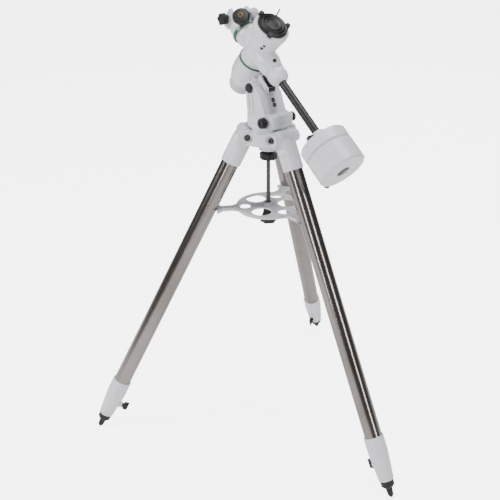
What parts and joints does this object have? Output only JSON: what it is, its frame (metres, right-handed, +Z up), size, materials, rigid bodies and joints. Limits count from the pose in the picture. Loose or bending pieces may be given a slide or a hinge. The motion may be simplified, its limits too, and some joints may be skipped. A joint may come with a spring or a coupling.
{
  "type": "equatorial telescope mount",
  "caption": "Equatorial telescope mount with a tilting polar head, counterweights on a bar, a folding steel-tube tripod and an accessory tray.",
  "frame": {"origin": "on the ground at the middle of the three feet's bounding box", "axes": "+X north, towards leg 0; +Y west; +Z up, the longest extent"},
  "size_m": [0.734, 0.841, 1.1292],
  "materials": {
    "white_paint": "semi-gloss white enamel on castings",
    "steel": "polished steel",
    "black_plastic": "satin black plastic",
    "black_steel": "black finished steel bar",
    "green_ring": "green enamel",
    "grey_paint": "light grey enamel",
    "brass": "machined brass"
  },
  "bodies": {
    "tripod": {"tripod_hub": "white_paint", "hinge_bolts": "steel", "azimuth_peg": "steel"},
    "rod": {"mount_bolt": "steel", "mount_bolt_knob": "black_plastic"},
    "tray": {"accessory_tray": "white_paint"},
    "tray_nut": {"tray_knob": "black_plastic"},
    "leg_0": {"leg_socket_0": "white_paint", "leg_tube_0": "steel", "leg_clamp_0": "white_paint"},
    "leg_foot_slide_0": {"leg_lower_0": "steel", "leg_foot_0": "black_plastic"},
    "leg_lock_0": {"leg_screw_0": "black_plastic"},
    "leg_1": {"leg_socket_1": "white_paint", "leg_tube_1": "steel", "leg_clamp_1": "white_paint"},
    "leg_foot_slide_1": {"leg_lower_1": "steel", "leg_foot_1": "black_plastic"},
    "leg_lock_1": {"leg_screw_1": "black_plastic"},
    "leg_2": {"leg_socket_2": "white_paint", "leg_tube_2": "steel", "leg_clamp_2": "white_paint"},
    "leg_foot_slide_2": {"leg_lower_2": "steel", "leg_foot_2": "black_plastic"},
    "leg_lock_2": {"leg_screw_2": "black_plastic"},
    "azimuth_head": {"azimuth_base": "white_paint", "latitude_fork": "white_paint", "pivot_bolt": "black_plastic", "fork_screws": "steel"},
    "azimuth_screw_e": {"azimuth_screw_east": "black_plastic"},
    "azimuth_screw_w": {"azimuth_screw_west": "black_plastic"},
    "polar_head": {"polar_housing": "white_paint", "latitude_scale": "white_paint", "polar_rear_cap": "grey_paint"},
    "polar_gear": {"polar_wheel": "brass"},
    "polar_drive": {"polar_worm": "steel"},
    "ra_head": {"dec_housing": "white_paint", "polar_shaft": "steel", "polar_circle": "green_ring", "dec_plug": "black_plastic", "shaft_collar": "white_paint", "counterweight_bar": "black_steel", "bar_end_screw": "steel"},
    "polar_cover": {"front_cap": "black_plastic"},
    "polar_lever": {"polar_clutch_lever": "black_plastic"},
    "dec_axis": {"dec_head": "white_paint", "dec_circle": "green_ring", "dec_shaft": "steel", "dec_wheel": "brass", "dec_cover": "grey_paint", "saddle": "white_paint"},
    "dec_clutch": {"dec_clutch_knob": "black_plastic"},
    "saddle_clamp_main": {"saddle_knob_main": "black_plastic"},
    "saddle_clamp_safety": {"saddle_knob_safety": "black_plastic"},
    "weight_upper": {"counterweight_upper": "white_paint"},
    "weight_lower": {"counterweight_lower": "white_paint"},
    "lock_upper": {"weight_lock_upper": "black_plastic"},
    "lock_lower": {"weight_lock_lower": "black_plastic"}
  },
  "joints": [
    {"name": "leg_0_splay", "type": "hinge", "parent": "tripod", "child": "leg_0", "pos_m": [-0.0617, 0, 0.834], "axis": [0, 1, 0], "range_deg": [0, 2.15]},
    {"name": "leg_0_extend", "type": "slide", "parent": "leg_0", "child": "leg_foot_slide_0", "axis": [0.4517, 0, -0.8922], "range_m": [0, 0.35]},
    {"name": "leg_0_lock", "type": "hinge", "parent": "leg_0", "child": "leg_lock_0", "pos_m": [0.30704, 0, 0.06796], "axis": [-0.8922, 0, -0.4517], "continuous": true},
    {"name": "leg_1_splay", "type": "hinge", "parent": "tripod", "child": "leg_1", "pos_m": [-0.14945, 0.05066, 0.834], "axis": [-0.866, -0.5, 0], "range_deg": [0, 2.15]},
    {"name": "leg_1_extend", "type": "slide", "parent": "leg_1", "child": "leg_foot_slide_1", "axis": [-0.2258, 0.3911, -0.8922], "range_m": [0, 0.35]},
    {"name": "leg_1_lock", "type": "hinge", "parent": "leg_1", "child": "leg_lock_1", "pos_m": [-0.33382, 0.37, 0.06796], "axis": [0.4461, -0.7727, -0.4517], "continuous": true},
    {"name": "leg_2_splay", "type": "hinge", "parent": "tripod", "child": "leg_2", "pos_m": [-0.14945, -0.05066, 0.834], "axis": [0.866, -0.5, 0], "range_deg": [0, 2.15]},
    {"name": "leg_2_extend", "type": "slide", "parent": "leg_2", "child": "leg_foot_slide_2", "axis": [-0.2258, -0.3911, -0.8922], "range_m": [0, 0.35]},
    {"name": "leg_2_lock", "type": "hinge", "parent": "leg_2", "child": "leg_lock_2", "pos_m": [-0.33382, -0.37, 0.06796], "axis": [0.4461, 0.7727, -0.4517], "continuous": true},
    {"name": "mount_bolt_turn", "type": "hinge", "parent": "tripod", "child": "rod", "pos_m": [-0.1202, 0, 0.7], "axis": [0, 0, 1], "continuous": true},
    {"name": "tray_slide", "type": "slide", "parent": "tripod", "child": "tray", "axis": [0, 0, -1], "range_m": [0, 0.02]},
    {"name": "tray_knob_turn", "type": "hinge", "parent": "tray", "child": "tray_nut", "pos_m": [-0.1202, 0, 0.7], "axis": [0, 0, 1], "continuous": true},
    {"name": "azimuth", "type": "hinge", "parent": "tripod", "child": "azimuth_head", "pos_m": [-0.1202, 0, 0.86], "axis": [0, 0, 1], "range_deg": [-7, 7]},
    {"name": "azimuth_screw_east_travel", "type": "slide", "parent": "azimuth_head", "child": "azimuth_screw_e", "axis": [0, -1, 0], "range_m": [-0.0045, 0.0045]},
    {"name": "azimuth_screw_west_travel", "type": "slide", "parent": "azimuth_head", "child": "azimuth_screw_w", "axis": [0, 1, 0], "range_m": [-0.0045, 0.0045]},
    {"name": "latitude", "type": "hinge", "parent": "azimuth_head", "child": "polar_head", "pos_m": [-0.1498, 0, 0.944], "axis": [0, 1, 0], "range_deg": [-12, 8]},
    {"name": "polar_wheel_turn", "type": "hinge", "parent": "polar_head", "child": "polar_gear", "pos_m": [-0.19593, 0, 0.9743], "axis": [0.6018, 0, 0.7986], "range_deg": [-10, 10]},
    {"name": "polar_worm_turn", "type": "hinge", "parent": "polar_head", "child": "polar_drive", "pos_m": [-0.21941, 0, 0.99199], "axis": [0, 1, 0], "range_deg": [-1440, 1440]},
    {"name": "right_ascension", "type": "hinge", "parent": "polar_head", "child": "ra_head", "pos_m": [-0.1532, 0, 1.031], "axis": [0.6018, 0, 0.7986], "range_deg": [-120, 120]},
    {"name": "front_cap_turn", "type": "hinge", "parent": "ra_head", "child": "polar_cover", "pos_m": [-0.10505, 0, 1.09489], "axis": [0.6018, 0, 0.7986], "continuous": true},
    {"name": "declination", "type": "hinge", "parent": "ra_head", "child": "dec_axis", "pos_m": [-0.20112, 0, 1.06711], "axis": [-0.7986, 0, 0.6018], "continuous": true},
    {"name": "polar_clutch_turn", "type": "hinge", "parent": "ra_head", "child": "polar_lever", "pos_m": [-0.14081, 0.03375, 1.09679], "axis": [-0.5276, 0.7507, 0.3976], "range_deg": [-30, 30]},
    {"name": "dec_clutch_turn", "type": "hinge", "parent": "dec_axis", "child": "dec_clutch", "pos_m": [-0.1948, -0.0209, 1.10208], "axis": [0.5026, -0.5501, 0.667], "continuous": true},
    {"name": "saddle_knob_main_turn", "type": "hinge", "parent": "dec_axis", "child": "saddle_clamp_main", "pos_m": [-0.24222, -0.033, 1.09432], "axis": [0, -1, 0], "continuous": true},
    {"name": "saddle_knob_safety_turn", "type": "hinge", "parent": "dec_axis", "child": "saddle_clamp_safety", "pos_m": [-0.2368, 0.032, 1.10151], "axis": [0, 1, 0], "continuous": true},
    {"name": "weight_upper_slide", "type": "slide", "parent": "ra_head", "child": "weight_upper", "axis": [-0.7986, 0, 0.6018], "range_m": [0, 0.085]},
    {"name": "weight_lower_slide", "type": "slide", "parent": "ra_head", "child": "weight_lower", "axis": [-0.7986, 0, 0.6018], "range_m": [0, 0.085]},
    {"name": "weight_lock_upper_turn", "type": "hinge", "parent": "weight_upper", "child": "lock_upper", "pos_m": [0.06243, -0.019, 0.86851], "axis": [0, -1, 0], "continuous": true},
    {"name": "weight_lock_lower_turn", "type": "hinge", "parent": "weight_lower", "child": "lock_lower", "pos_m": [0.0988, 0, 0.76723], "axis": [-0.6018, 0, -0.7986], "continuous": true}
  ],
  "couplings": [
    {"joint": "leg_1_splay", "follows": "leg_0_splay", "ratio": 1},
    {"joint": "leg_2_splay", "follows": "leg_0_splay", "ratio": 1},
    {"joint": "tray_slide", "follows": "leg_0_splay", "m_per_rad": 0.52765},
    {"joint": "azimuth_screw_east_travel", "follows": "azimuth", "m_per_rad": 0.032},
    {"joint": "azimuth_screw_west_travel", "follows": "azimuth", "m_per_rad": -0.032},
    {"joint": "polar_worm_turn", "follows": "polar_wheel_turn", "ratio": 144},
    {"joint": "weight_lower_slide", "follows": "weight_upper_slide", "ratio": 1}
  ]
}
